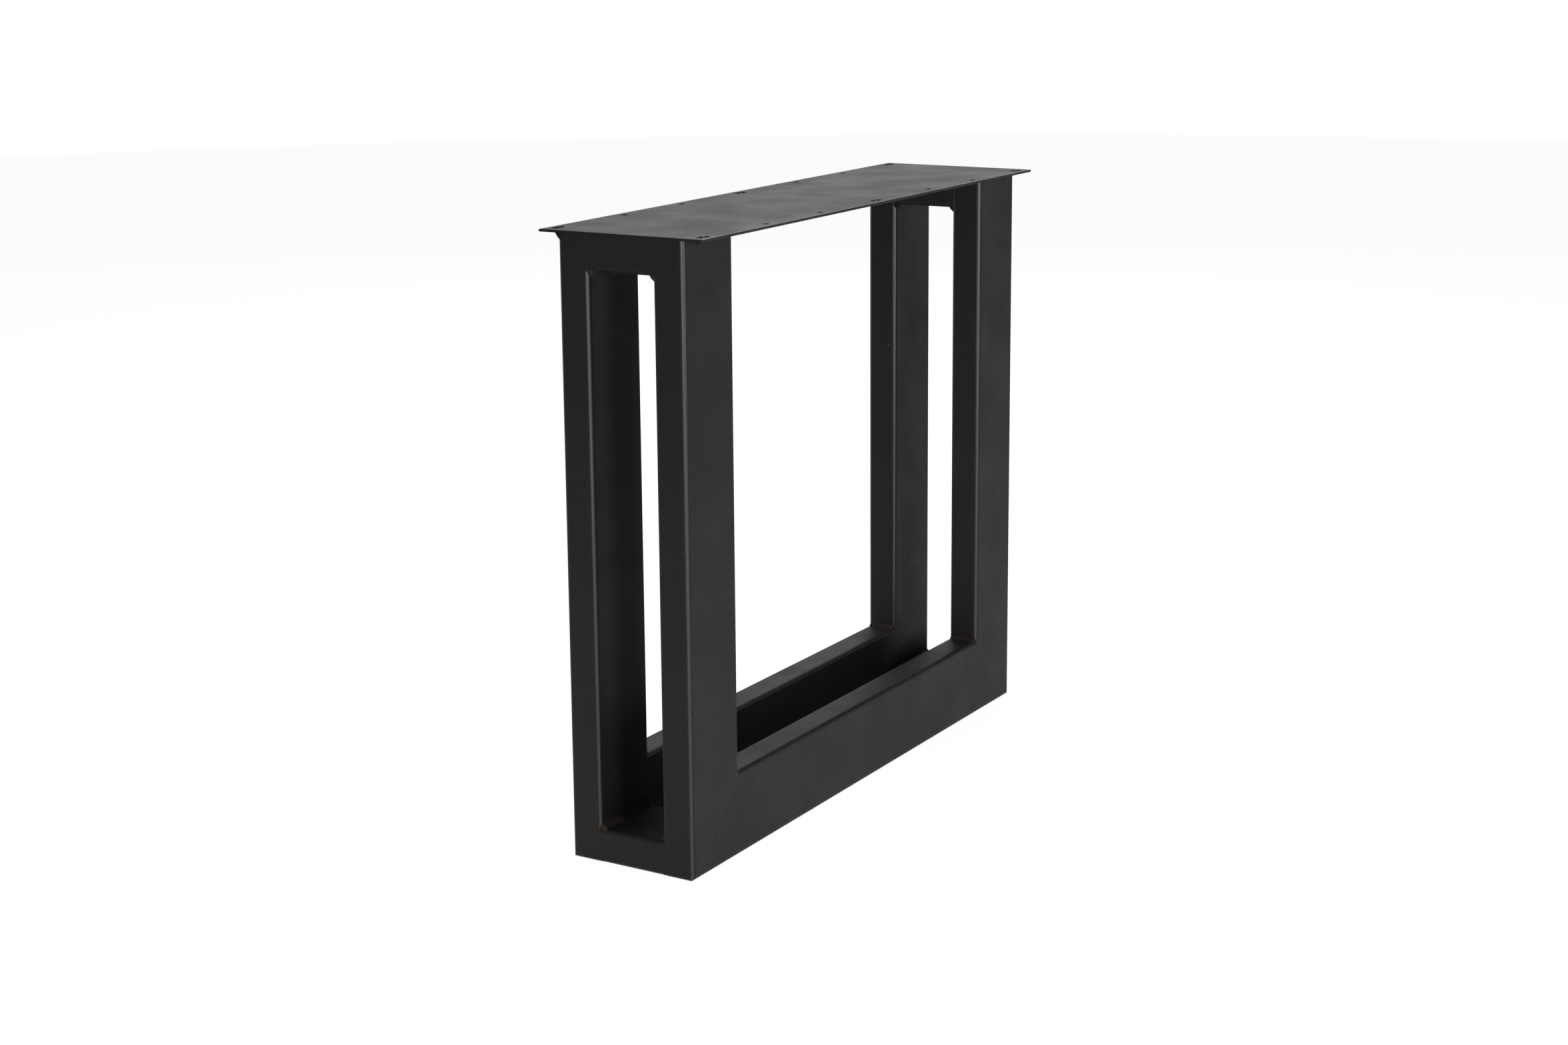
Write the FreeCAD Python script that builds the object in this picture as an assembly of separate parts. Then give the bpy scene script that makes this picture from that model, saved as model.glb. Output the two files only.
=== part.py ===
"""U shaped table leg: two mitred U frames of flat steel tube, held side by side by four
short cross tubes and closed by a drilled plate that the table top is screwed to.

Millimetres. X runs along the plate, Y across it and Z up. The origin is on the floor,
under the middle of the plate. The front frame is the one on the -Y side.
"""
import FreeCAD, Part
import math
import os

# Whole leg
leg_width = 800.0
leg_height = 720.0

# Rectangular steel tube that every frame member is cut from
tube_wide = 100.0
tube_thin = 40.0
tube_wall = 3.0
tube_corner = 6.0

# Clear space between the two frames
frame_gap = 83.0

# Radius ground on the two outer bottom corners of each frame
ground_radius = 5.0

# Top plate
plate_thickness = 3.0
plate_overhang = 24.5
plate_edge_radius = 0.5

# Screw holes in the plate, one row along each long edge
hole_edge_distance = 12.0
hole_diameter = 9.0
slot_length = 21.0
slot_end_distance = 20.0
slot_to_outer_hole = 128.0
outer_to_inner_hole = 119.0

# Weld beads
corner_weld_leg = 5.0
cross_weld_leg = 6.0
plate_weld_leg = 6.0
weld_crown = 0.6
weld_end_setback = 1.0

# How far in from the leg's ends the front frame's beads under the plate start
front_plate_weld_start = 25.0

# Sizes that follow
half_width = leg_width / 2
inner_width = leg_width - 2 * tube_wide
half_gap = frame_gap / 2
frame_middle = half_gap + tube_thin / 2
plate_underside = leg_height - plate_thickness
plate_depth = frame_gap + 2 * tube_thin + 2 * plate_overhang
hole_row = plate_depth / 2 - hole_edge_distance
top_tube_middle = plate_underside - tube_thin / 2
bottom_tube_middle = tube_thin / 2

RIGHT = FreeCAD.Vector(1, 0, 0)
BACK = FreeCAD.Vector(0, 1, 0)
UP = FreeCAD.Vector(0, 0, 1)
FLOOR_CENTRE = FreeCAD.Vector(0, 0, 0)


def point(x, y, z):
    return FreeCAD.Vector(x, y, z)


def box(low, high):
    """Block between two opposite corners."""
    size = [b - a for a, b in zip(low, high)]
    return Part.makeBox(*size, point(*low))


def rounded_rectangle(width, depth, radius, height=0.0):
    """Closed outline about the Z axis, at one height."""
    arcs = []
    for turn, (side_x, side_y) in enumerate([(1, 1), (-1, 1), (-1, -1), (1, -1)]):
        centre = point(side_x * (width / 2 - radius), side_y * (depth / 2 - radius), height)
        arcs.append(Part.makeCircle(radius, centre, UP, 90 * turn, 90 * turn + 90))
    edges = []
    for arc, following in zip(arcs, arcs[1:] + arcs[:1]):
        edges.append(arc)
        edges.append(Part.makeLine(arc.Vertexes[-1].Point, following.Vertexes[0].Point))
    return Part.Wire(edges)


def tube_outside(length):
    """Tube without its bore, standing on the origin, wide side along X."""
    outline = rounded_rectangle(tube_wide, tube_thin, tube_corner)
    return Part.Face(outline).extrude(UP * length)


def tube(length):
    """Hollow rectangular tube, standing on the origin, wide side along X."""
    bore = rounded_rectangle(tube_wide - 2 * tube_wall, tube_thin - 2 * tube_wall,
                             tube_corner - tube_wall)
    return tube_outside(length).cut(Part.Face(bore).extrude(UP * length))


def stand_as_post(shape):
    """Move a standing tube to the back left corner of the leg."""
    shape.translate(point(-half_width + tube_wide / 2, frame_middle, 0))
    return shape


def lay_as_rail(shape):
    """Lay a standing tube along X, wide side upright, as the back frame's bottom rail."""
    shape.rotate(FLOOR_CENTRE, BACK, 90)
    shape.translate(point(-half_width, frame_middle, tube_wide / 2))
    return shape


def lay_across(shape, middle_height):
    """Lay a standing tube along Y, wide side flat, between the left posts."""
    shape.rotate(FLOOR_CENTRE, RIGHT, -90)
    shape.translate(point(-half_width + tube_wide / 2, -half_gap, middle_height))
    return shape


def ground_corner_point(degrees):
    """Point on the ground bottom left corner: 180 is on the post side, 270 underneath."""
    angle = math.radians(degrees)
    return point(-half_width + ground_radius + ground_radius * math.cos(angle), 0,
                 ground_radius + ground_radius * math.sin(angle))


def ground_corner_arc(first, last):
    """Arc of the ground bottom left corner between two angles."""
    ends = [ground_corner_point(angle) for angle in (first, (first + last) / 2, last)]
    return Part.Arc(*ends).toShape()


def opposite(corner):
    """The same point at the leg's other end."""
    return point(-corner.x, corner.y, corner.z)


def mirrored_in_x(shape):
    return shape.mirror(FLOOR_CENTRE, RIGHT)


def side_view(edges):
    """Solid whose outline in the XZ plane is given, wide enough to hold both frames."""
    outline = Part.Wire(Part.__sortEdges__(edges))
    reach = half_gap + 2 * tube_thin
    solid = Part.Face(outline).extrude(BACK * (2 * reach))
    solid.translate(BACK * -reach)
    return solid


def run_of_lines(points):
    return [Part.makeLine(a, b) for a, b in zip(points, points[1:])]


def post_side_view():
    """What the mitre saw and the grinder leave of the left post."""
    mitre_foot = ground_corner_point(225)
    top_outer = point(-half_width, 0, plate_underside)
    top_inner = point(-inner_width / 2, 0, plate_underside)
    mitre_top = point(-inner_width / 2, 0, tube_wide)
    outer_foot = ground_corner_point(180)
    lines = run_of_lines([outer_foot, top_outer, top_inner, mitre_top, mitre_foot])
    return side_view(lines + [ground_corner_arc(180, 225)])


def rail_side_view():
    """What the mitre saw and the grinder leave of a bottom rail."""
    left_arc = ground_corner_arc(225, 270)
    right_arc = mirrored_in_x(left_arc)
    mitre_foot = ground_corner_point(225)
    bottom = ground_corner_point(270)
    mitre_top = point(-inner_width / 2, 0, tube_wide)
    over_the_top = [mitre_foot, mitre_top, opposite(mitre_top), opposite(mitre_foot)]
    lines = run_of_lines(over_the_top) + [Part.makeLine(bottom, opposite(bottom))]
    return side_view(lines + [left_arc, right_arc])


def back_left_post():
    return stand_as_post(tube(plate_underside)).common(post_side_view())


def back_rail():
    return lay_as_rail(tube(leg_width)).common(rail_side_view())


def back_frame_outside():
    """The back frame's left post and its rail without bores, for beads to be cut against."""
    post = stand_as_post(tube_outside(plate_underside)).common(post_side_view())
    rail = lay_as_rail(tube_outside(leg_width)).common(rail_side_view())
    return post.fuse(rail)


def left_cross_tube(middle_height):
    return lay_across(tube(frame_gap), middle_height)


def screw_hole(x, y):
    return Part.makeCylinder(hole_diameter / 2, plate_thickness, point(x, y, plate_underside))


def screw_slot(x, y):
    """Cutter for a round ended slot along X."""
    end = (slot_length - hole_diameter) / 2
    middle = box((x - end, y - hole_diameter / 2, plate_underside),
                 (x + end, y + hole_diameter / 2, leg_height))
    return middle.fuse([screw_hole(x - end, y), screw_hole(x + end, y)]).removeSplitter()


def top_plate():
    """Flat plate with softened edges and two rows of slots and round holes."""
    plate = box((-half_width, -plate_depth / 2, plate_underside),
                (half_width, plate_depth / 2, leg_height))
    rims = [edge for edge in plate.Edges if edge.BoundBox.ZLength < plate_edge_radius]
    plate = plate.makeFillet(plate_edge_radius, rims)
    end_slot = half_width - slot_end_distance
    outer_hole = end_slot - slot_to_outer_hole
    inner_hole = outer_hole - outer_to_inner_hole
    for y in (-hole_row, hole_row):
        for x in (-end_slot, 0, end_slot):
            plate = plate.cut(screw_slot(x, y))
        for x in (-outer_hole, -inner_hole, inner_hole, outer_hole):
            plate = plate.cut(screw_hole(x, y))
    return plate


def bead_around(width, depth, leg):
    """Crowned fillet all round a tube's end, its wide foot on z = 0, narrowing upwards."""
    crown = leg / 2 + weld_crown
    sections = []
    for offset, height in ((leg, 0), (crown, crown), (0, leg)):
        sections.append(rounded_rectangle(width + 2 * offset, depth + 2 * offset,
                                          tube_corner + offset, height))
    return Part.makeLoft(sections, True, True)


def corner_weld():
    """Bead across the inner bottom left corner of the back frame, post to rail."""
    corner_x = -inner_width / 2
    root = point(corner_x - tube_corner, 0, tube_wide - tube_corner)
    upper = point(corner_x, 0, tube_wide + corner_weld_leg)
    lower = point(corner_x + corner_weld_leg, 0, tube_wide)
    reach = corner_weld_leg / 2 + weld_crown
    crown = point(corner_x + reach, 0, tube_wide + reach)
    edges = [Part.makeLine(root, upper), Part.Arc(upper, crown, lower).toShape(),
             Part.makeLine(lower, root)]
    length = tube_thin - 2 * weld_end_setback
    bead = Part.Face(Part.Wire(edges)).extrude(BACK * length)
    bead.translate(BACK * (half_gap + weld_end_setback))
    return bead.cut(back_frame_outside())


def seam_filling(x_low, z_low, z_high):
    """Metal that fills the hollow beside a post's rounded edge, at a cross tube's end."""
    filling = box((x_low, half_gap, z_low), (x_low + tube_corner, half_gap + tube_corner, z_high))
    return filling.cut(back_frame_outside())


def cross_weld(middle_height, trim_low, trim_high, fillings):
    """Bead where a left cross tube meets the back frame, inside the given trim box."""
    bead = bead_around(tube_wide, tube_thin, cross_weld_leg)
    bead.rotate(FLOOR_CENTRE, RIGHT, 90)
    bead.translate(point(-half_width + tube_wide / 2, half_gap, middle_height))
    bead = bead.common(box(trim_low, trim_high))
    bead = bead.cut(lay_across(tube_outside(frame_gap), middle_height))
    for filling in fillings:
        bead = bead.fuse(filling)
    return bead.removeSplitter()


def top_cross_weld():
    """Bead under the top cross tube, with both edges of the joint filled up to the plate."""
    under = plate_underside - tube_thin
    low = (-half_width, half_gap - cross_weld_leg, under - cross_weld_leg)
    high = (-inner_width / 2, half_gap, under + tube_corner)
    fillings = [seam_filling(x, under, plate_underside)
                for x in (-half_width, -inner_width / 2 - tube_corner)]
    return cross_weld(top_tube_middle, low, high, fillings)


def bottom_cross_weld():
    """Bead over the bottom cross tube and down its inner side, the outer edge filled."""
    low = (-half_width, half_gap - cross_weld_leg, tube_corner)
    high = (-inner_width / 2 + cross_weld_leg, half_gap, tube_thin + cross_weld_leg)
    filling = seam_filling(-half_width, 0, tube_thin)
    filling = filling.common(post_side_view().fuse(rail_side_view()))
    return cross_weld(bottom_tube_middle, low, high, [filling])


def end_plate_weld():
    """Metal ground flush in the groove between the left top cross tube's edge and the plate."""
    groove = box((-half_width, -half_gap, plate_underside - tube_corner),
                 (-half_width + tube_corner, half_gap, plate_underside))
    return groove.cut(lay_across(tube_outside(frame_gap), top_tube_middle))


def plate_weld(start):
    """Bead under the plate, on the outer side and the inner edge of the back left post.

    It starts that far in from the leg's end.
    """
    bead = bead_around(tube_wide, tube_thin, plate_weld_leg)
    bead.rotate(FLOOR_CENTRE, RIGHT, 180)
    bead.translate(point(-half_width + tube_wide / 2, frame_middle, plate_underside))
    bead = bead.common(box((-half_width + start, half_gap + tube_corner,
                            plate_underside - plate_weld_leg),
                           (-inner_width / 2 + plate_weld_leg,
                            half_gap + tube_thin + plate_weld_leg, plate_underside)))
    return bead.cut(stand_as_post(tube_outside(plate_underside)))


def write(name, shape):
    shape.exportStep("parts/" + name + ".step")


def write_two(pattern, shape):
    """Write a left piece and its mirror image on the right."""
    write(pattern.format(side="left"), shape)
    write(pattern.format(side="right"), mirrored_in_x(shape))


def write_four(pattern, shape):
    """Write a back left piece and its mirror images at the other three posts."""
    write_two("back_" + pattern, shape)
    write_two("front_" + pattern, shape.mirror(FLOOR_CENTRE, BACK))


def main():
    os.makedirs("parts", exist_ok=True)
    write("top_plate", top_plate())

    write_four("{side}_post", back_left_post())
    rail = back_rail()
    write("back_bottom_rail", rail)
    write("front_bottom_rail", rail.mirror(FLOOR_CENTRE, BACK))

    write_two("{side}_top_cross_tube", left_cross_tube(top_tube_middle))
    write_two("{side}_bottom_cross_tube", left_cross_tube(bottom_tube_middle))

    write_four("{side}_corner_weld", corner_weld())
    write_four("{side}_top_cross_weld", top_cross_weld())
    write_four("{side}_bottom_cross_weld", bottom_cross_weld())
    write_two("{side}_end_plate_weld", end_plate_weld())
    write_two("back_{side}_plate_weld", plate_weld(0))
    front_bead = plate_weld(front_plate_weld_start).mirror(FLOOR_CENTRE, BACK)
    write_two("front_{side}_plate_weld", front_bead)


main()
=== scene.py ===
import math
import random

import bpy
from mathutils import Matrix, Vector, noise


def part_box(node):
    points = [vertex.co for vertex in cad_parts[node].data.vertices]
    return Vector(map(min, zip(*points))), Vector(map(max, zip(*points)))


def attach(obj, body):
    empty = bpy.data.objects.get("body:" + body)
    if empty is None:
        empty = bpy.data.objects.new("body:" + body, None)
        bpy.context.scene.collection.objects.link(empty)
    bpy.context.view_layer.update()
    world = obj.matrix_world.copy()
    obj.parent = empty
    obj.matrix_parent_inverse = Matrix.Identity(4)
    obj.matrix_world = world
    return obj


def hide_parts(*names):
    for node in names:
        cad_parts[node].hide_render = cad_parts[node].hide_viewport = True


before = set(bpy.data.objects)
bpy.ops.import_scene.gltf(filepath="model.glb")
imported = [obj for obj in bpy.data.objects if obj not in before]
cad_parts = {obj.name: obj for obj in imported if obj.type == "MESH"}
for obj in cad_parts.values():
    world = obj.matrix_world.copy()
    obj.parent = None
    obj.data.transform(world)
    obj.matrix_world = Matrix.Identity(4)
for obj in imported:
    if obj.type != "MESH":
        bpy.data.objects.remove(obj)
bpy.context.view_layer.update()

MM = 0.001

# Places read from the frame
plate_low, plate_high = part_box("top_plate")
post_low, post_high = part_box("back_right_post")
rail_low, rail_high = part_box("back_bottom_rail")
upper_cross_low, upper_cross_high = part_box("right_top_cross_tube")
lower_cross_low, lower_cross_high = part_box("right_bottom_cross_tube")

END_X = post_high.x
INNER_X = post_low.x
FRAME_INNER_Y = post_low.y
FRAME_OUTER_Y = post_high.y
PLATE_UNDERSIDE = plate_low.z
PLATE_TOP = plate_high.z
PLATE_HALF_DEPTH = plate_high.y
UPPER_CROSS_UNDERSIDE = upper_cross_low.z
LOWER_CROSS_TOP = lower_cross_high.z
RAIL_TOP = rail_high.z

# Middles and halves of the tubes that stand, lie and cross
POST_MIDDLE_X = (END_X + INNER_X) / 2
FRAME_MIDDLE_Y = (FRAME_INNER_Y + FRAME_OUTER_Y) / 2
TUBE_WIDE_HALF = (END_X - INNER_X) / 2
TUBE_THIN_HALF = (FRAME_OUTER_Y - FRAME_INNER_Y) / 2
RAIL_MIDDLE = RAIL_TOP / 2
UPPER_CROSS_MIDDLE = (UPPER_CROSS_UNDERSIDE + PLATE_UNDERSIDE) / 2
LOWER_CROSS_MIDDLE = LOWER_CROSS_TOP / 2

# The tube's rounded edges and the leg's ground bottom corners
TUBE_CORNER = 6 * MM
GROUND_RADIUS = 5 * MM

# Legs of each kind of weld bead, and how far in from the end face or the edge it starts
CORNER_LEG = 4.5 * MM
UPPER_CROSS_LEG = 6 * MM
LOWER_CROSS_LEG = 7 * MM
STANDING_LEG = 5.5 * MM
PLATE_LEG = 6 * MM
BEAD_START = 1 * MM
FRONT_LOWER_BEAD_START = 5 * MM
FRONT_PLATE_BEAD_START = 25 * MM

# Form of the beads, along and across
BEAD_STEP = 0.5 * MM
BEAD_ROUND_END = 3 * MM
ACROSS_BEAD = 12
CROWN = 0.6 * MM
RIPPLE_PITCH = 2.6 * MM
RIPPLE_HEIGHT = 0.15 * MM
RIPPLE_BOW = 0.45
SPATTER_SIZE = 1.1 * MM
SPATTER_HEIGHT = 0.3 * MM
SWELL = 0.1
SWELLS_PER_METRE = 90
START_LUMP = 0.15
START_LUMP_LENGTH = 5 * MM
ROOT_SUNK = 0.3 * MM
FOOT_SUNK = 0.1 * MM
GROUND_START_LENGTH = 10 * MM
GROUND_START_WIDTH = 0.45
GROUND_START_HEIGHT = 1.25
SEAM_STEPS = 8

# Powder coat
COAT_COLOUR = (0.0175, 0.0158, 0.0142, 1)
COAT_ROUGHNESS = 0.58
COAT_IOR = 1.24
COAT_GRAIN_HEIGHT = 0.06 * MM
EDGE_GLOSS_ROUGHNESS = 0.36
GRAIN_SCALE = 700.0
CLOUD_SCALE = 14.0
SHEEN_SWING = 0.08
DUST_SPACING_SCALE = 16.0
DUST_SIZE = 0.012
DUST_COLOUR = (0.16, 0.155, 0.15, 1)
MITRE_HALF_WIDTH = 4 * MM
UPRIGHT_HALF_WIDTH = 1.1 * MM

# Painted light and shade on the coat from place to place, and its roughness inside; a shade below 0
# is darker
EDGE_NARROWNESS = 0.36
EDGE_WIDENS_UPWARDS = 0.1
UPPER_PAINTED_SHADE = -0.6
UNDER_PLATE_PAINTED_SHADOW = -0.9
EDGE_PAINTED_SHADE = -0.5
INSIDE_PAINTED_SHADE = -0.9
INSIDE_ROUGHNESS = 0.42
LEFT_POSTS_INSIDE = 0.55
LEFT_END_PALER = 0.54

# Coat over the raw beads, pale as far in from the end face as given, then painted shade fading to
# dark
BEAD_COLOUR = (0.024, 0.0205, 0.0185, 1)
BEAD_IOR = 1.15
BEAD_GLOSS = 0.06
BEAD_GRAIN_HEIGHT = 0.04 * MM
BEAD_PAINTED_SHADE = -0.8
LOWER_BEAD_PALE = 30 * MM
UPPER_BEAD_PALE = 2 * MM
CORNER_BEAD_PALE = 0.9
BEAD_FADE = 14 * MM

# Studio
FLOOR_BELOW_LEG = 0.2 * MM
STUDIO_RADIUS = 9.0
STUDIO_SIDES = 96
BACKDROP_HEIGHT = 3.4
STUDIO_PAINT = (0.8, 0.8, 0.8, 1)
SEEN_PAINT = (0.12, 0.12, 0.12, 1)
FLOOR_GLOW = 0.955
BACKDROP_GLOW = 1.0
WORLD_LIGHT = 0.05
LIGHT_AIM = Vector((0, 0, 0.36))


# Node helpers

def new_group(name, inputs, outputs):
    """Empty shader node group with named sockets."""
    group = bpy.data.node_groups.new(name, "ShaderNodeTree")
    for label, kind, value in inputs:
        socket = group.interface.new_socket(label, in_out="INPUT", socket_type=kind)
        if value is not None:
            socket.default_value = value
    for label, kind in outputs:
        group.interface.new_socket(label, in_out="OUTPUT", socket_type=kind)
    return group


class Wiring:
    """Adds nodes to a tree and joins them, with values given by socket name."""

    def __init__(self, tree):
        self.tree = tree

    def add(self, kind, settings=None, **inputs):
        node = self.tree.nodes.new(kind)
        for key, value in (settings or {}).items():
            setattr(node, key, value)
        for key, value in inputs.items():
            self.feed(node.inputs[key.replace("_", " ")], value)
        return node

    def feed(self, socket, value):
        if isinstance(value, bpy.types.NodeSocket):
            self.tree.links.new(value, socket)
        else:
            socket.default_value = value

    def math(self, operation, *values, clamp=False):
        node = self.tree.nodes.new("ShaderNodeMath")
        node.operation = operation
        node.use_clamp = clamp
        for socket, value in zip(node.inputs, values):
            self.feed(socket, value)
        return node.outputs[0]

    def remap(self, value, low, high, to_low=0.0, to_high=1.0):
        node = self.tree.nodes.new("ShaderNodeMapRange")
        node.interpolation_type = "SMOOTHSTEP"
        for socket, given in zip(node.inputs, (value, low, high, to_low, to_high)):
            self.feed(socket, given)
        return node.outputs[0]


def powder_grain_group():
    """Fine orange peel of a baked powder coat, with slow changes of sheen."""
    group = new_group("powder_grain", [("Grain Scale", "NodeSocketFloat", GRAIN_SCALE),
                                       ("Cloud Scale", "NodeSocketFloat", CLOUD_SCALE)],
                      [("Height", "NodeSocketFloat"), ("Shade", "NodeSocketFloat"),
                       ("Sheen", "NodeSocketFloat")])
    w = Wiring(group)
    inlet = w.add("NodeGroupInput")
    place = w.add("ShaderNodeTexCoord").outputs["Object"]
    peel = w.add("ShaderNodeTexNoise", Vector=place, Scale=inlet.outputs["Grain Scale"],
                 Detail=3.0, Roughness=0.6)
    clouds = w.add("ShaderNodeTexNoise", Vector=place, Scale=inlet.outputs["Cloud Scale"],
                   Detail=4.0, Roughness=0.55)
    outlet = w.add("NodeGroupOutput")
    w.feed(outlet.inputs["Height"], peel.outputs[0])
    w.feed(outlet.inputs["Shade"], w.remap(peel.outputs[0], 0.3, 0.7, 0.4, 1.6))
    w.feed(outlet.inputs["Sheen"], w.remap(clouds.outputs[0], 0.3, 0.7, -0.5, 0.5))
    return group


def dust_group():
    """A few tiny pale specks of dust that lie on the coat."""
    group = new_group("dust_specks", [("Spacing Scale", "NodeSocketFloat", DUST_SPACING_SCALE),
                                      ("Speck Size", "NodeSocketFloat", DUST_SIZE)],
                      [("Mask", "NodeSocketFloat")])
    w = Wiring(group)
    inlet = w.add("NodeGroupInput")
    place = w.add("ShaderNodeTexCoord").outputs["Object"]
    cells = w.add("ShaderNodeTexVoronoi", Vector=place, Scale=inlet.outputs["Spacing Scale"])
    near = w.math("LESS_THAN", cells.outputs["Distance"], inlet.outputs["Speck Size"])
    outlet = w.add("NodeGroupOutput")
    w.feed(outlet.inputs["Mask"], near)
    return group


def painted_edge_light_group():
    """Mask that is 1 on the middle of a tube's rounded edges, where painted highlight or painted
    shade goes.

    First and Second are the place across the tube's two sides, from the section's middle.
    Narrowness 0 takes the whole rounding, and a larger one a thinner line along its middle.
    """
    group = new_group("painted_edge_light", [("First", "NodeSocketFloat", 0.0),
                                        ("Second", "NodeSocketFloat", 0.0),
                                        ("Half First", "NodeSocketFloat", TUBE_WIDE_HALF),
                                        ("Half Second", "NodeSocketFloat", TUBE_THIN_HALF),
                                        ("Radius", "NodeSocketFloat", TUBE_CORNER),
                                        ("Narrowness", "NodeSocketFloat", 0.3)],
                      [("Mask", "NodeSocketFloat")])
    w = Wiring(group)
    inlet = w.add("NodeGroupInput")
    reaches = []
    for side in ("First", "Second"):
        from_middle = w.math("ABSOLUTE", inlet.outputs[side])
        flat = w.math("SUBTRACT", inlet.outputs["Half " + side], inlet.outputs["Radius"])
        reaches.append(w.math("SUBTRACT", from_middle, flat))
    into_corner = w.math("MINIMUM", *reaches)
    share = w.math("DIVIDE", into_corner, inlet.outputs["Radius"])
    outlet = w.add("NodeGroupOutput")
    low = inlet.outputs["Narrowness"]
    w.feed(outlet.inputs["Mask"], w.remap(share, low, w.math("ADD", low, 0.4)))
    return group


def ground_seam_group():
    """Trace of a seam that was welded and ground flush, at Distance 0."""
    group = new_group("ground_seam", [("Distance", "NodeSocketFloat", 1.0),
                                      ("Half Width", "NodeSocketFloat", MITRE_HALF_WIDTH)],
                      [("Band", "NodeSocketFloat"), ("Line", "NodeSocketFloat")])
    w = Wiring(group)
    inlet = w.add("NodeGroupInput")
    place = w.add("ShaderNodeTexCoord").outputs["Object"]
    wander = w.add("ShaderNodeTexNoise", Vector=place, Scale=60.0, Detail=2.0)
    shift = w.remap(wander.outputs[0], 0.3, 0.7, -0.6 * MM, 0.6 * MM)
    off = w.math("ABSOLUTE", w.math("ADD", inlet.outputs["Distance"], shift))
    outlet = w.add("NodeGroupOutput")
    w.feed(outlet.inputs["Band"], w.remap(off, inlet.outputs["Half Width"], 0.0))
    line_half = w.math("MULTIPLY", inlet.outputs["Half Width"], 0.22)
    w.feed(outlet.inputs["Line"], w.remap(off, line_half, 0.0))
    return group


def plate_painted_light_group():
    """Masks for painted light and shade on the plate: its holes' walls, the glint on them, its
    sides and its rim.

    The painted glint lies where a wall faces the front and a little to the left.
    """
    group = new_group("plate_painted_light", [("Top", "NodeSocketFloat", PLATE_TOP),
                                      ("Underside", "NodeSocketFloat", PLATE_UNDERSIDE),
                                      ("Half Length", "NodeSocketFloat", END_X),
                                      ("Half Depth", "NodeSocketFloat", PLATE_HALF_DEPTH)],
                      [("Hole Wall", "NodeSocketFloat"), ("Wall Glint", "NodeSocketFloat"),
                       ("Lower Side", "NodeSocketFloat"), ("Upper Side", "NodeSocketFloat"),
                       ("Long Rim", "NodeSocketFloat"), ("Front Overhang", "NodeSocketFloat"),
                       ("Side Corner", "NodeSocketFloat"), ("End Side", "NodeSocketFloat")])
    w = Wiring(group)
    inlet = w.add("NodeGroupInput").outputs
    axes = w.add("ShaderNodeSeparateXYZ",
                 Vector=w.add("ShaderNodeTexCoord").outputs["Object"]).outputs
    rim = 0.15 * MM
    below_top = w.math("LESS_THAN", axes["Z"], w.math("SUBTRACT", inlet["Top"], rim))
    over_underside = w.math("GREATER_THAN", axes["Z"], w.math("ADD", inlet["Underside"], rim))
    between = w.math("MULTIPLY", below_top, over_underside)
    to_end = w.math("SUBTRACT", inlet["Half Length"], w.math("ABSOLUTE", axes["X"]))
    to_side = w.math("SUBTRACT", inlet["Half Depth"], w.math("ABSOLUTE", axes["Y"]))
    inside = w.math("GREATER_THAN", w.math("MINIMUM", to_end, to_side), 1 * MM)
    wall = w.math("MULTIPLY", between, inside)
    side_skin = 0.3 * MM
    long_side = w.math("LESS_THAN", to_side, side_skin)
    up = w.math("SUBTRACT", axes["Z"], inlet["Underside"])
    facing = w.add("ShaderNodeVectorMath", {"operation": "DOT_PRODUCT"})
    w.feed(facing.inputs[0], w.add("ShaderNodeNewGeometry").outputs["Normal"])
    facing.inputs[1].default_value = (-0.42, -0.91, 0)
    outlet = w.add("NodeGroupOutput")
    w.feed(outlet.inputs["Hole Wall"], wall)
    w.feed(outlet.inputs["Wall Glint"],
           w.math("MULTIPLY", wall, w.remap(facing.outputs["Value"], 0.93, 0.99)))
    w.feed(outlet.inputs["Lower Side"],
           w.math("MULTIPLY", long_side, w.remap(up, 1.7 * MM, 1.3 * MM)))
    w.feed(outlet.inputs["Upper Side"],
           w.math("MULTIPLY", w.math("MULTIPLY", long_side, below_top),
                  w.remap(up, 1.3 * MM, 1.7 * MM)))
    w.feed(outlet.inputs["Long Rim"],
           w.math("MULTIPLY", w.remap(to_side, 2.2 * MM, 0.6 * MM),
                  w.math("SUBTRACT", 1.0, below_top)))
    w.feed(outlet.inputs["End Side"],
           w.math("MULTIPLY", below_top, w.math("LESS_THAN", to_end, side_skin)))
    w.feed(outlet.inputs["Side Corner"],
           w.math("MULTIPLY", w.math("MULTIPLY", long_side, below_top),
                  w.remap(to_end, 2.0 * MM, 1.0 * MM)))
    w.feed(outlet.inputs["Front Overhang"],
           w.remap(axes["Y"], -60 * MM, w.math("MULTIPLY", inlet["Half Depth"], -1.0)))
    return group


POWDER_GRAIN = powder_grain_group()
DUST = dust_group()
PAINTED_EDGE_LIGHT = painted_edge_light_group()
GROUND_SEAM = ground_seam_group()
PLATE_PAINTED_LIGHT = plate_painted_light_group()


def use(w, group, **inputs):
    """Place a group in a material with values by socket name, and give its outputs."""
    node = w.tree.nodes.new("ShaderNodeGroup")
    node.node_tree = group
    for key, value in inputs.items():
        w.feed(node.inputs[key.replace("_", " ")], value)
    return node.outputs


# Materials

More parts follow.
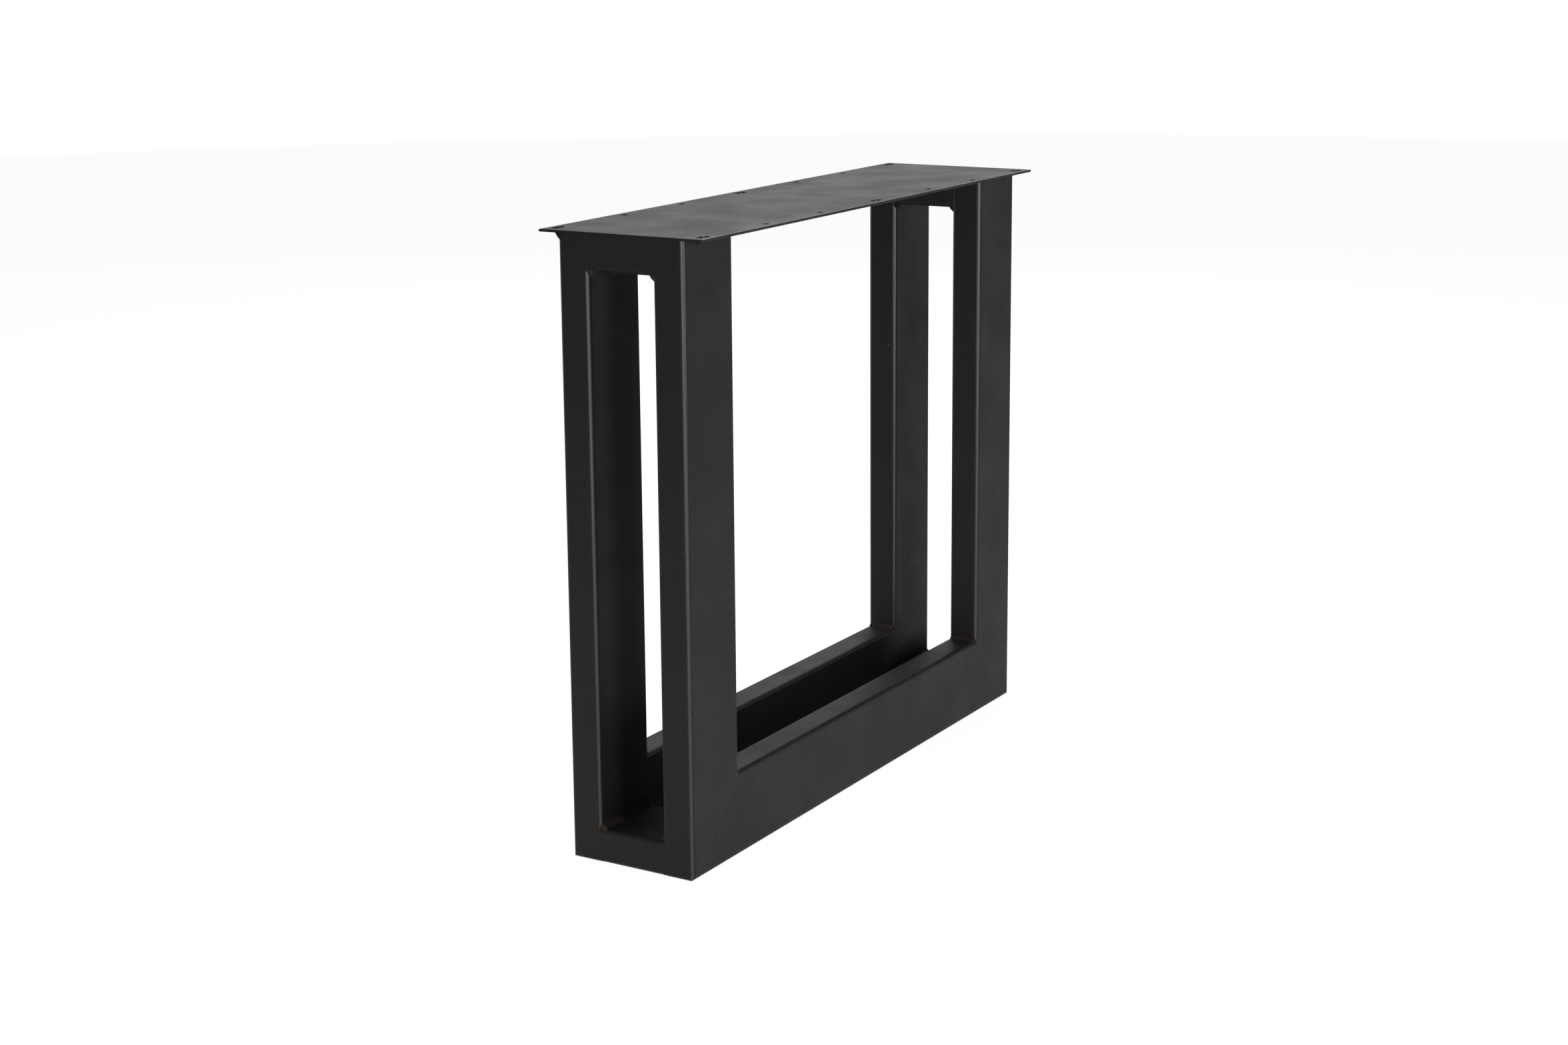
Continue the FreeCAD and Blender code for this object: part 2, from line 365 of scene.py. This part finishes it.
class Coat:
    """Matt black powder coat; each kind of piece adds its own marks and painted light and shade
    before it is finished.
    """

    def __init__(self, name, grain_height=COAT_GRAIN_HEIGHT, colour=COAT_COLOUR):
        self.material = bpy.data.materials.new(name)
        self.material.use_nodes = True
        self.w = Wiring(self.material.node_tree)
        self.shader = self.material.node_tree.nodes["Principled BSDF"]
        self.axes = self.w.add("ShaderNodeSeparateXYZ",
                               Vector=self.w.add("ShaderNodeTexCoord").outputs["Object"]).outputs
        grain = use(self.w, POWDER_GRAIN, Grain_Scale=GRAIN_SCALE, Cloud_Scale=CLOUD_SCALE)
        self.shade = grain["Shade"]
        self.height = grain["Height"]
        self.grain_height = grain_height
        self.colour = colour
        sheen = self.w.math("MULTIPLY", grain["Sheen"], SHEEN_SWING)
        self.roughness = self.w.math("ADD", COAT_ROUGHNESS, sheen)
        self.gloss = None
        self.shader.inputs["IOR"].default_value = COAT_IOR
        self.shader.inputs["Coat Roughness"].default_value = EDGE_GLOSS_ROUGHNESS

    def from_end(self):
        """Distance in from the nearer end face."""
        return self.w.math("SUBTRACT", END_X, self.w.math("ABSOLUTE", self.axes["X"]))

    def scale_shade(self, mask, amount):
        """Lighter by that share where the mask is 1, or darker where it is negative."""
        change = self.w.math("ADD", 1.0, self.w.math("MULTIPLY", mask, amount))
        self.shade = self.w.math("MULTIPLY", self.shade, change)

    def add_gloss(self, mask, amount):
        """Glossy skin of that weight where the mask is 1; the glossiest mark wins."""
        share = self.w.math("MULTIPLY", mask, amount)
        self.gloss = share if self.gloss is None else self.w.math("MAXIMUM", self.gloss, share)

    def rounded_edges(self, first, first_middle, first_half, second, second_middle, second_half,
                      gloss, lighter, one_sided=False, narrowness=0.3):
        """Painted highlight or painted shade on a tube's rounded edges, with a glossier skin there.

        One sided: painted highlight and gloss only on the edges that face the leg's left end, and
        painted shade on the others.
        """
        w = self.w
        across = w.math("SUBTRACT", w.math("ABSOLUTE", self.axes[first]), first_middle)
        through = w.math("SUBTRACT", w.math("ABSOLUTE", self.axes[second]), second_middle)
        edge_light_mask = use(w, PAINTED_EDGE_LIGHT, First=across, Second=through, Half_First=first_half,
                  Half_Second=second_half, Radius=TUBE_CORNER, Narrowness=narrowness)["Mask"]
        if one_sided:
            leftwards = w.math("LESS_THAN", w.math("MULTIPLY", across, self.axes[first]), 0.0)
            rightwards = w.math("SUBTRACT", 1.0, leftwards)
            # Painted shade on the edges that face away from the leg's left end
            self.scale_shade(w.math("MULTIPLY", edge_light_mask, rightwards), EDGE_PAINTED_SHADE)
            edge_light_mask = w.math("MULTIPLY", edge_light_mask, leftwards)
        if gloss:
            self.add_gloss(edge_light_mask, gloss)
        # Painted highlight where lighter is above 0, painted shade where it is below
        self.scale_shade(edge_light_mask, lighter)

    def painted_shade_upwards(self):
        """Painted shade: coat darker towards the plate, away from the light thrown up by the floor.
        """
        self.scale_shade(self.w.remap(self.axes["Z"], 0.0, PLATE_UNDERSIDE), UPPER_PAINTED_SHADE)

    def painted_shadow_under_plate(self):
        """Painted shadow of the plate's overhang, in the corner between a frame's outer face and
        the plate.
        """
        w = self.w
        outside = w.math("GREATER_THAN", w.math("ABSOLUTE", self.axes["Y"]), FRAME_OUTER_Y - 1 * MM)
        corner = w.remap(self.axes["Z"], PLATE_UNDERSIDE - 9 * MM, PLATE_UNDERSIDE - 3 * MM)
        self.scale_shade(w.math("MULTIPLY", outside, corner), UNDER_PLATE_PAINTED_SHADOW)

    def painted_shade_inside(self):
        """Painted shade, with a rougher coat, on the frames' faces that look at each other.

        It is darkest down between the rails and about half as dark between the left posts,
        and it pales towards the left end face.
        """
        w, axes = self.w, self.axes
        inside = w.math("LESS_THAN", w.math("ABSOLUTE", axes["Y"]), FRAME_INNER_Y + 0.5 * MM)
        away_from_right = w.remap(axes["X"], INNER_X + 40 * MM, INNER_X - 60 * MM)
        along_rails = w.math("MULTIPLY", away_from_right,
                             w.remap(axes["Z"], RAIL_TOP + 40 * MM, RAIL_TOP - 8 * MM))
        lowest = w.remap(axes["Z"], RAIL_TOP - 10 * MM, RAIL_TOP - 60 * MM)
        between_posts = w.remap(axes["Z"], RAIL_TOP + 110 * MM, RAIL_TOP + 30 * MM,
                                LEFT_POSTS_INSIDE, 1.0)
        at_left = w.math("LESS_THAN", axes["X"], -INNER_X)
        deep = w.math("MAXIMUM", w.math("MAXIMUM", along_rails, lowest),
                      w.math("MULTIPLY", at_left, between_posts))
        paler = w.remap(axes["X"], 55 * MM - END_X, 18 * MM - END_X, 0.0, LEFT_END_PALER)
        hidden = w.math("MULTIPLY", inside, w.math("SUBTRACT", deep, paler, clamp=True))
        # Painted shade where the frames hide each other from the light
        self.scale_shade(w.math("MULTIPLY", hidden, hidden), INSIDE_PAINTED_SHADE)
        rougher_inside = w.math("MULTIPLY", hidden, INSIDE_ROUGHNESS)
        self.roughness = w.math("ADD", self.roughness, rougher_inside, clamp=True)

    def mitre_line(self):
        """Trace of the ground seam that runs at 45 degrees through the bottom corners."""
        w = self.w
        off = w.math("SUBTRACT", self.from_end(), self.axes["Z"])
        off = w.math("MULTIPLY", off, math.sqrt(0.5))
        seam = use(w, GROUND_SEAM, Distance=off, Half_Width=MITRE_HALF_WIDTH)
        self.scale_shade(seam["Band"], 0.3)
        self.height = w.math("SUBTRACT", self.height, w.math("MULTIPLY", seam["Line"], 0.3))

    def upright_lines(self):
        """Faint lines under the plate, where ground metal meets a post and a cross tube,
        and a bright painted highlight along the inner side.
        """
        w = self.w
        depth = w.math("ABSOLUTE", self.axes["Y"])
        high = w.math("GREATER_THAN", self.axes["Z"], UPPER_CROSS_UNDERSIDE)
        outer = w.math("LESS_THAN", self.from_end(), TUBE_WIDE_HALF)
        inner = w.math("SUBTRACT", 1.0, outer)
        # The inner line is a painted highlight that carries the post's edge highlight up to the
        # plate
        for place, amount, side in ((FRAME_INNER_Y, 0.9, outer),
                                    (FRAME_INNER_Y + TUBE_CORNER, 0.5, outer),
                                    (FRAME_INNER_Y + TUBE_CORNER / 2, 5.0, inner)):
            off = w.math("SUBTRACT", depth, place)
            seam = use(w, GROUND_SEAM, Distance=off, Half_Width=UPRIGHT_HALF_WIDTH)
            self.scale_shade(w.math("MULTIPLY", w.math("MULTIPLY", seam["Band"], high), side),
                             amount)

    def plate_painted_light(self):
        """Painted light and shade: dark holes with one glint each, bright long rims over dark
        sides, a paler front.
        """
        sides = use(self.w, PLATE_PAINTED_LIGHT, Top=PLATE_TOP, Underside=PLATE_UNDERSIDE,
                    Half_Length=END_X, Half_Depth=PLATE_HALF_DEPTH)
        # Painted glints and rim highlights, with painted shade in the holes and on the sides
        for mask, gloss in (("Wall Glint", 1.0), ("Long Rim", 0.5)):
            self.add_gloss(sides[mask], gloss)
        for mask, shade in (("Hole Wall", -0.6), ("Wall Glint", 15.0), ("Long Rim", 0.2),
                            ("Front Overhang", 0.9), ("End Side", -0.65), ("Lower Side", -0.4),
                            ("Upper Side", -0.75), ("Side Corner", 1.5)):
            self.scale_shade(sides[mask], shade)

    def finish(self):
        """Join colour, dust, roughness, gloss and grain to the shader."""
        w = self.w
        dust = use(w, DUST, Spacing_Scale=DUST_SPACING_SCALE, Speck_Size=DUST_SIZE)["Mask"]
        coat = w.add("ShaderNodeMix", {"data_type": "RGBA", "blend_type": "MULTIPLY"})
        coat.inputs[0].default_value = 1.0
        coat.inputs[6].default_value = self.colour
        w.feed(coat.inputs[7], self.shade)
        dusty = w.add("ShaderNodeMix", {"data_type": "RGBA"})
        w.feed(dusty.inputs[0], dust)
        w.feed(dusty.inputs[6], coat.outputs[2])
        dusty.inputs[7].default_value = DUST_COLOUR
        w.feed(self.shader.inputs["Base Color"], dusty.outputs[2])
        w.feed(self.shader.inputs["Roughness"], self.roughness)
        if self.gloss is not None:
            w.feed(self.shader.inputs["Coat Weight"], self.gloss)
        bump = w.add("ShaderNodeBump", Strength=0.8, Distance=self.grain_height,
                     Height=self.height)
        w.feed(self.shader.inputs["Normal"], bump.outputs[0])
        return self.material


def post_coat():
    """The painted highlight along a post's edges is a little wider towards the plate."""
    coat = Coat("powder_coat_posts")
    w = coat.w
    height = w.math("DIVIDE", coat.axes["Z"], PLATE_UNDERSIDE)
    narrowness = w.math("SUBTRACT", EDGE_NARROWNESS,
                        w.math("MULTIPLY", height, EDGE_WIDENS_UPWARDS))
    # Painted highlight on the edges facing the leg's left end, painted shade on the others
    coat.rounded_edges("X", POST_MIDDLE_X, TUBE_WIDE_HALF, "Y", FRAME_MIDDLE_Y, TUBE_THIN_HALF,
                       gloss=1.0, lighter=0.35, one_sided=True, narrowness=narrowness)
    coat.painted_shade_upwards()
    coat.painted_shadow_under_plate()
    coat.painted_shade_inside()
    coat.mitre_line()
    return coat.finish()


def rail_coat():
    """Painted shade on the rails' rounded edges, which are darker than their faces."""
    coat = Coat("powder_coat_rails")
    coat.rounded_edges("Z", RAIL_MIDDLE, TUBE_WIDE_HALF, "Y", FRAME_MIDDLE_Y, TUBE_THIN_HALF,
                       gloss=0.0, lighter=-0.45)
    coat.painted_shade_inside()
    coat.mitre_line()
    return coat.finish()


def cross_tube_coat(name, middle_height, gloss, lighter, rougher=0.0):
    """The tube's end face keeps the posts' coat; the rest may be rougher. Its rounded edges get
    painted highlight or painted shade.
    """
    coat = Coat(name)
    w = coat.w
    rest = w.remap(coat.from_end(), 0.5 * MM, TUBE_CORNER)
    coat.roughness = w.math("ADD", coat.roughness, w.math("MULTIPLY", rest, rougher))
    coat.painted_shade_upwards()
    coat.rounded_edges("X", POST_MIDDLE_X, TUBE_WIDE_HALF, "Z", middle_height, TUBE_THIN_HALF,
                       gloss, lighter)
    return coat.finish()


def plate_coat():
    """Plain coat on the plate's faces, with painted light and shade only on its edges and holes and
    in front.
    """
    coat = Coat("powder_coat_plate")
    coat.plate_painted_light()
    return coat.finish()


def ground_coat():
    """Coat over metal that was ground flush with the tubes beside it."""
    coat = Coat("powder_coat_ground_seams")
    coat.painted_shade_upwards()
    coat.upright_lines()
    return coat.finish()


def bead_coat():
    """Smoother coat over the raw beads, brown at the open ends, with painted shade further in and
    by the plate.
    """
    coat = Coat("powder_coat_raw_beads", grain_height=BEAD_GRAIN_HEIGHT, colour=BEAD_COLOUR)
    coat.shader.inputs["IOR"].default_value = BEAD_IOR
    coat.shader.inputs["Coat Weight"].default_value = BEAD_GLOSS
    w, height = coat.w, coat.axes["Z"]
    from_end = coat.from_end()
    upper = w.math("GREATER_THAN", height, PLATE_UNDERSIDE / 2)
    pale = w.remap(upper, 0.0, 1.0, LOWER_BEAD_PALE, UPPER_BEAD_PALE)
    deep = w.remap(w.math("SUBTRACT", from_end, pale), 0.0, BEAD_FADE)
    in_corner = w.math("GREATER_THAN", from_end, END_X - INNER_X + 0.3 * MM)
    deep = w.math("SUBTRACT", deep, w.math("MULTIPLY", in_corner, CORNER_BEAD_PALE))
    by_plate = w.math("GREATER_THAN", height, UPPER_CROSS_UNDERSIDE + 4 * MM)
    # Painted shade on the beads further in from the end face and next to the plate
    coat.scale_shade(w.math("MAXIMUM", deep, by_plate), BEAD_PAINTED_SHADE)
    return coat.finish()


POST_COAT = post_coat()
RAIL_COAT = rail_coat()
# Painted shade on the upper cross tubes' rounded edges, painted highlight on the lower ones
UPPER_CROSS_COAT = cross_tube_coat("powder_coat_upper_cross_tubes", UPPER_CROSS_MIDDLE,
                                   gloss=0.0, lighter=-0.6)
LOWER_CROSS_COAT = cross_tube_coat("powder_coat_lower_cross_tubes", LOWER_CROSS_MIDDLE,
                                   gloss=0.1, lighter=0.2, rougher=0.15)
PLATE_COAT = plate_coat()
GROUND_COAT = ground_coat()
BEAD_COAT = bead_coat()


def coat_node(node, material):
    """Give a solid from the frame its own coat."""
    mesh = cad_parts[node].data
    mesh.materials.clear()
    mesh.materials.append(material)


coat_node("top_plate", PLATE_COAT)
for depth in ("back", "front"):
    coat_node(depth + "_bottom_rail", RAIL_COAT)
    for side in ("left", "right"):
        coat_node(depth + "_" + side + "_post", POST_COAT)
for side in ("left", "right"):
    coat_node(side + "_end_plate_weld", GROUND_COAT)
    coat_node(side + "_top_cross_tube", UPPER_CROSS_COAT)
    coat_node(side + "_bottom_cross_tube", LOWER_CROSS_COAT)


# Weld beads

def edge_drop(from_edge):
    """How far a tube's face has curved away at this distance from its edge."""
    if from_edge >= TUBE_CORNER:
        return 0.0
    inside = TUBE_CORNER - max(from_edge, 0.0)
    return TUBE_CORNER - math.sqrt(TUBE_CORNER ** 2 - inside ** 2)


class Bead:
    """Vertices and faces of one weld, gathered run by run in the back right corner."""

    def __init__(self, seed):
        self.points = []
        self.faces = []
        self.ground_faces = []
        self.seed = seed

    def spatter_at(self, place):
        """Small lumps on the bead, from -1 to 1."""
        shifted = (place + Vector((self.seed, 0, 0))) / SPATTER_SIZE
        return noise.noise(shifted)

    def run(self, stations, square_start=False, lump=0.0):
        """Sweep a crowned bead; a station is root, first wall, second wall and two legs."""
        length = BEAD_STEP * (len(stations) - 1)
        rings = []
        for index, (root, first, second, first_leg, second_leg) in enumerate(stations):
            along = BEAD_STEP * index
            to_end = length - along if square_start else min(along, length - along)
            share = min(1.0, to_end / BEAD_ROUND_END)
            rounded = math.sqrt(max(1 - (1 - share) ** 2, 0.01))
            wave = noise.noise(Vector((along * SWELLS_PER_METRE + self.seed, self.seed, 0)))
            heap = max(0.0, 1 - along / START_LUMP_LENGTH)
            swell = rounded * (1 + SWELL * wave + lump * heap)
            outward = (first + second).normalized()
            foot_a = root + first * first_leg * swell
            foot_b = root + second * second_leg * swell
            ring = [root - outward * ROOT_SUNK]
            for step in range(ACROSS_BEAD + 1):
                t = step / ACROSS_BEAD
                arch = 4 * t * (1 - t)
                phase = along / RIPPLE_PITCH - RIPPLE_BOW * arch
                ripple = 1 - abs(2 * (phase % 1) - 1) ** 2
                place = foot_a.lerp(foot_b, t)
                lift = CROWN * arch * rounded + RIPPLE_HEIGHT * (ripple - 0.5) * arch ** 0.5
                lift += SPATTER_HEIGHT * self.spatter_at(place) * arch ** 0.5
                if step in (0, ACROSS_BEAD):
                    lift = -FOOT_SUNK
                ring.append(place + outward * lift)
            rings.append(ring)
        self.skin(rings)

    def skin(self, rings):
        """Closed skin through rings of points, capped at either end."""
        start, count = len(self.points), len(rings[0])
        for ring in rings:
            self.points.extend(ring)
        for i in range(len(rings) - 1):
            for j in range(count):
                a, b = start + i * count + j, start + i * count + (j + 1) % count
                self.faces.append((a, b, b + count, a + count))
        self.faces.append(tuple(start + j for j in reversed(range(count))))
        last = start + (len(rings) - 1) * count
        self.faces.append(tuple(last + j for j in range(count)))

    def column(self, levels):
        """Upright filling, ground flush; a level is a height with an outline in X and Y."""
        first_face = len(self.faces)
        self.skin([[Vector((x, y, height)) for x, y in outline] for height, outline in levels])
        self.ground_faces.extend(range(first_face, len(self.faces)))

    def make(self, name, side, depth):
        """Mesh object, mirrored from the back right corner of the leg into its own."""
        mesh = bpy.data.meshes.new(name)
        points = [(p.x * side, p.y * depth, p.z) for p in self.points]
        flipped = side * depth < 0
        faces = [tuple(reversed(f)) if flipped else f for f in self.faces]
        mesh.from_pydata(points, [], faces)
        mesh.shade_smooth()
        mesh.set_sharp_from_angle(angle=math.radians(50))
        mesh.materials.append(BEAD_COAT)
        mesh.materials.append(GROUND_COAT)
        for index in self.ground_faces:
            mesh.polygons[index].material_index = 1
        piece = bpy.data.objects.new(name, mesh)
        bpy.context.scene.collection.objects.link(piece)
        return piece


def straight_places(start, end):
    """Evenly spaced places from one point to another."""
    count = max(2, round((end - start).length / BEAD_STEP))
    return [start.lerp(end, i / count) for i in range(count + 1)]


UP, DOWN = Vector((0, 0, 1)), Vector((0, 0, -1))
OUTWARDS_X, INWARDS_X = Vector((1, 0, 0)), Vector((-1, 0, 0))
OUTWARDS_Y, INWARDS_Y = Vector((0, 1, 0)), Vector((0, -1, 0))


def inner_corner_bead(bead):
    """Across the inner bottom corner, from the post down onto the rail."""
    start = Vector((INNER_X, FRAME_INNER_Y + BEAD_START, RAIL_TOP))
    end = Vector((INNER_X, FRAME_OUTER_Y - BEAD_START, RAIL_TOP))
    stations = []
    for place in straight_places(start, end):
        drop = edge_drop(min(place.y - FRAME_INNER_Y, FRAME_OUTER_Y - place.y))
        root = place + Vector((drop, 0, -drop))
        stations.append((root, UP, INWARDS_X, CORNER_LEG, CORNER_LEG))
    bead.run(stations)


def cross_tube_bead(bead, height, wall, leg, first):
    """Along a cross tube's flat face, where it meets the frame's inner face.

    Wall is the way that its leg on the frame runs; it starts that far in from the end face.
    """
    stations = []
    for place in straight_places(Vector((END_X - first, FRAME_INNER_Y, height)),
                                 Vector((INNER_X, FRAME_INNER_Y, height))):
        drop = edge_drop(min(END_X - place.x, place.x - INNER_X))
        root = place + OUTWARDS_Y * drop - wall * drop
        stations.append((root, wall, INWARDS_Y, leg, leg))
    bead.run(stations, lump=START_LUMP)


def seam_outline(edge_x, towards, drop=0.0):
    """Outline of the metal beside a post's rounded edge; towards is +1 at the end face.

    Drop is how far the face is ground away at that height.
    """
    outline = [(edge_x - towards * drop, FRAME_INNER_Y)]
    centre = (edge_x - towards * TUBE_CORNER, FRAME_INNER_Y + TUBE_CORNER)
    first = math.acos(1 - drop / TUBE_CORNER)
    for i in range(SEAM_STEPS + 1):
        angle = first + (math.pi / 2 - first) * i / SEAM_STEPS
        outline.append((centre[0] + towards * TUBE_CORNER * math.cos(angle),
                        centre[1] - TUBE_CORNER * math.sin(angle)))
    return outline if towards > 0 else list(reversed(outline))


def upper_seam_levels(edge_x, towards):
    """Filling beside a post, from an upper cross tube's underside to the plate."""
    outline = seam_outline(edge_x, towards)
    return [(UPPER_CROSS_UNDERSIDE, outline), (PLATE_UNDERSIDE, outline)]


def lower_seam_levels():
    """Filling beside a post at the end face, down over the ground bottom corner."""
    levels = []
    for i in range(SEAM_STEPS + 1):
        height = GROUND_RADIUS * i / SEAM_STEPS
        drop = GROUND_RADIUS - math.sqrt(GROUND_RADIUS ** 2 - (GROUND_RADIUS - height) ** 2)
        levels.append((height, seam_outline(END_X, 1, drop)))
    return levels + [(LOWER_CROSS_TOP, seam_outline(END_X, 1))]


def standing_bead(bead):
    """Upright bead over the seam between a lower cross tube's inner side and the frame."""
    start = Vector((INNER_X, FRAME_INNER_Y, BEAD_START))
    end = Vector((INNER_X, FRAME_INNER_Y, LOWER_CROSS_TOP))
    bead.run([(place, OUTWARDS_Y, INWARDS_X, STANDING_LEG, STANDING_LEG)
              for place in straight_places(start, end)])


def plate_bead(bead, first):
    """Under the plate, along the post's outer side and round onto its inner edge.

    It starts at the end face, ground back there, or that far in from it with a lump.
    """
    stations = []
    corner = Vector((INNER_X + TUBE_CORNER, FRAME_OUTER_Y - TUBE_CORNER, PLATE_UNDERSIDE))
    start = Vector((END_X - first, FRAME_OUTER_Y, PLATE_UNDERSIDE))
    for place in straight_places(start, corner + OUTWARDS_Y * TUBE_CORNER):
        from_end = END_X - place.x
        drop = edge_drop(from_end)
        share = min(1.0, from_end / GROUND_START_LENGTH)
        down = PLATE_LEG * (GROUND_START_HEIGHT + (1 - GROUND_START_HEIGHT) * share)
        out = PLATE_LEG * (GROUND_START_WIDTH + (1 - GROUND_START_WIDTH) * share)
        stations.append((place - OUTWARDS_Y * drop, DOWN, OUTWARDS_Y, down, out + drop))
    quarter = round(math.pi / 2 * TUBE_CORNER / BEAD_STEP)
    for i in range(1, quarter):
        angle = math.pi / 2 * (1 + i / quarter)
        away = Vector((math.cos(angle), math.sin(angle), 0))
        stations.append((corner + away * TUBE_CORNER, DOWN, away, PLATE_LEG, PLATE_LEG))
    end = Vector((INNER_X, FRAME_INNER_Y + TUBE_CORNER, PLATE_UNDERSIDE))
    for place in straight_places(corner + INWARDS_X * TUBE_CORNER, end):
        stations.append((place, DOWN, INWARDS_X, PLATE_LEG, PLATE_LEG))
    bead.run(stations, square_start=not first, lump=START_LUMP if first else 0.0)


def weld_piece(corner, kind, side, depth, build, *start):
    """One weld built in its corner, in place of the plain one."""
    name = corner + "_" + kind
    bead = Bead(random.uniform(0, 50))
    build(bead, *start)
    piece = bead.make(name + "_bead", side, depth)
    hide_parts(name)
    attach(piece, "root")


def upper_cross_weld(bead):
    """Under an upper cross tube, with both edges of the joint filled up to the plate."""
    cross_tube_bead(bead, UPPER_CROSS_UNDERSIDE, DOWN, UPPER_CROSS_LEG, BEAD_START)
    bead.column(upper_seam_levels(END_X, 1))
    bead.column(upper_seam_levels(INNER_X, -1))


def lower_cross_weld(bead, first):
    """Over a lower cross tube and down its inner side, the outer edge filled."""
    cross_tube_bead(bead, LOWER_CROSS_TOP, UP, LOWER_CROSS_LEG, first)
    bead.column(lower_seam_levels())
    standing_bead(bead)


random.seed(7)
for depth_name, depth, lower_start, plate_start in (
        ("back", 1, BEAD_START, 0.0),
        ("front", -1, FRONT_LOWER_BEAD_START, FRONT_PLATE_BEAD_START)):
    for side_name, side in (("left", -1), ("right", 1)):
        corner = depth_name + "_" + side_name
        weld_piece(corner, "corner_weld", side, depth, inner_corner_bead)
        weld_piece(corner, "top_cross_weld", side, depth, upper_cross_weld)
        weld_piece(corner, "bottom_cross_weld", side, depth, lower_cross_weld, lower_start)
        weld_piece(corner, "plate_weld", side, depth, plate_bead, plate_start)


# Floor, world, lamps, camera

def seen_directly(w):
    """1 for rays that should meet the white background: camera, glossy, transmission."""
    rays = w.add("ShaderNodeLightPath").outputs
    either = w.math("MAXIMUM", rays["Is Camera Ray"], rays["Is Glossy Ray"])
    return w.math("MAXIMUM", either, rays["Is Transmission Ray"])


def white_paint(name, glow_strength):
    """Pale matt paint that looks white to the eye and keeps a faint shadow."""
    material = bpy.data.materials.new(name)
    material.use_nodes = True
    w = Wiring(material.node_tree)
    material.node_tree.nodes.remove(material.node_tree.nodes["Principled BSDF"])
    paint = w.add("ShaderNodeBsdfDiffuse", Color=STUDIO_PAINT)
    glow = w.add("ShaderNodeEmission", Strength=glow_strength)
    faint = w.add("ShaderNodeBsdfDiffuse", Color=SEEN_PAINT)
    pale = w.add("ShaderNodeAddShader")
    w.feed(pale.inputs[0], glow.outputs[0])
    w.feed(pale.inputs[1], faint.outputs[0])
    mix = w.add("ShaderNodeMixShader")
    w.feed(mix.inputs[0], seen_directly(w))
    w.feed(mix.inputs[1], paint.outputs[0])
    w.feed(mix.inputs[2], pale.outputs[0])
    w.feed(material.node_tree.nodes["Material Output"].inputs["Surface"], mix.outputs[0])
    return material


def studio_piece(name, points, faces, material):
    """Floor or backdrop, a hair below the leg and no part of it."""
    mesh = bpy.data.meshes.new(name)
    mesh.from_pydata(points, [], faces)
    mesh.materials.append(material)
    piece = bpy.data.objects.new(name, mesh)
    piece.location.z = -FLOOR_BELOW_LEG
    bpy.context.scene.collection.objects.link(piece)


def white_studio():
    """Round pale floor with a low white backdrop all round it."""
    count = STUDIO_SIDES
    rim = [(STUDIO_RADIUS * math.cos(2 * math.pi * i / count),
            STUDIO_RADIUS * math.sin(2 * math.pi * i / count)) for i in range(count)]
    studio_piece("floor", [(x, y, 0) for x, y in rim], [tuple(range(count))],
                 white_paint("white_floor", FLOOR_GLOW))
    wall = [(x, y, 0) for x, y in rim] + [(x, y, BACKDROP_HEIGHT) for x, y in rim]
    panels = [(i, (i + 1) % count, count + (i + 1) % count, count + i) for i in range(count)]
    studio_piece("backdrop", wall, panels, white_paint("white_backdrop", BACKDROP_GLOW))


def grey_world():
    """Dim even light from above the backdrop."""
    world = bpy.data.worlds.new("studio")
    bpy.context.scene.world = world
    world.use_nodes = True
    sky = world.node_tree.nodes["Background"]
    sky.inputs["Color"].default_value = (1, 1, 1, 1)
    sky.inputs["Strength"].default_value = WORLD_LIGHT


def softbox(name, azimuth, elevation, distance, size, power, colour=(1, 1, 1)):
    """Rectangular lamp aimed at the leg; azimuth is 0 on the front, negative to its left."""
    a, e = math.radians(azimuth), math.radians(elevation)
    away = Vector((math.sin(a) * math.cos(e), -math.cos(a) * math.cos(e), math.sin(e)))
    lamp = bpy.data.lights.new(name, "AREA")
    lamp.shape = "RECTANGLE"
    lamp.size, lamp.size_y = size
    lamp.energy = power
    lamp.color = colour
    piece = bpy.data.objects.new(name, lamp)
    piece.location = LIGHT_AIM + away * distance
    piece.rotation_euler = (-away).to_track_quat("-Z", "Y").to_euler()
    bpy.context.scene.collection.objects.link(piece)


white_studio()
grey_world()
softbox("front_softbox", -4, 8, 2.1, (0.8, 1.0), 20, (1, 0.97, 0.93))
softbox("end_softbox", -67, 6, 1.9, (1.4, 0.9), 13.5, (1, 0.985, 0.965))
softbox("far_softbox", 120, 22, 4.5, (2.4, 1.4), 26)
softbox("back_softbox", 172, 12, 3.2, (1.6, 1.2), 30)
softbox("overhead_softbox", 140, 80, 3.2, (1.6, 1.6), 85)


def photo_camera():
    """Camera at the place, turn and lens that were solved from the photo's straight edges."""
    lens = bpy.data.cameras.new("photo_camera")
    lens.sensor_fit = "HORIZONTAL"
    lens.sensor_width = 36.0
    lens.lens = 58.483
    lens.shift_x = 0.030914
    lens.shift_y = -0.053872
    camera = bpy.data.objects.new("photo_camera", lens)
    camera.location = (-2.63738, -1.53792, 1.06297)
    camera.rotation_euler = [math.radians(a) for a in (78.1865, 0.6595, -58.2142)]
    bpy.context.scene.collection.objects.link(camera)
    bpy.context.scene.camera = camera


photo_camera()
bpy.context.scene.view_settings.view_transform = "Standard"
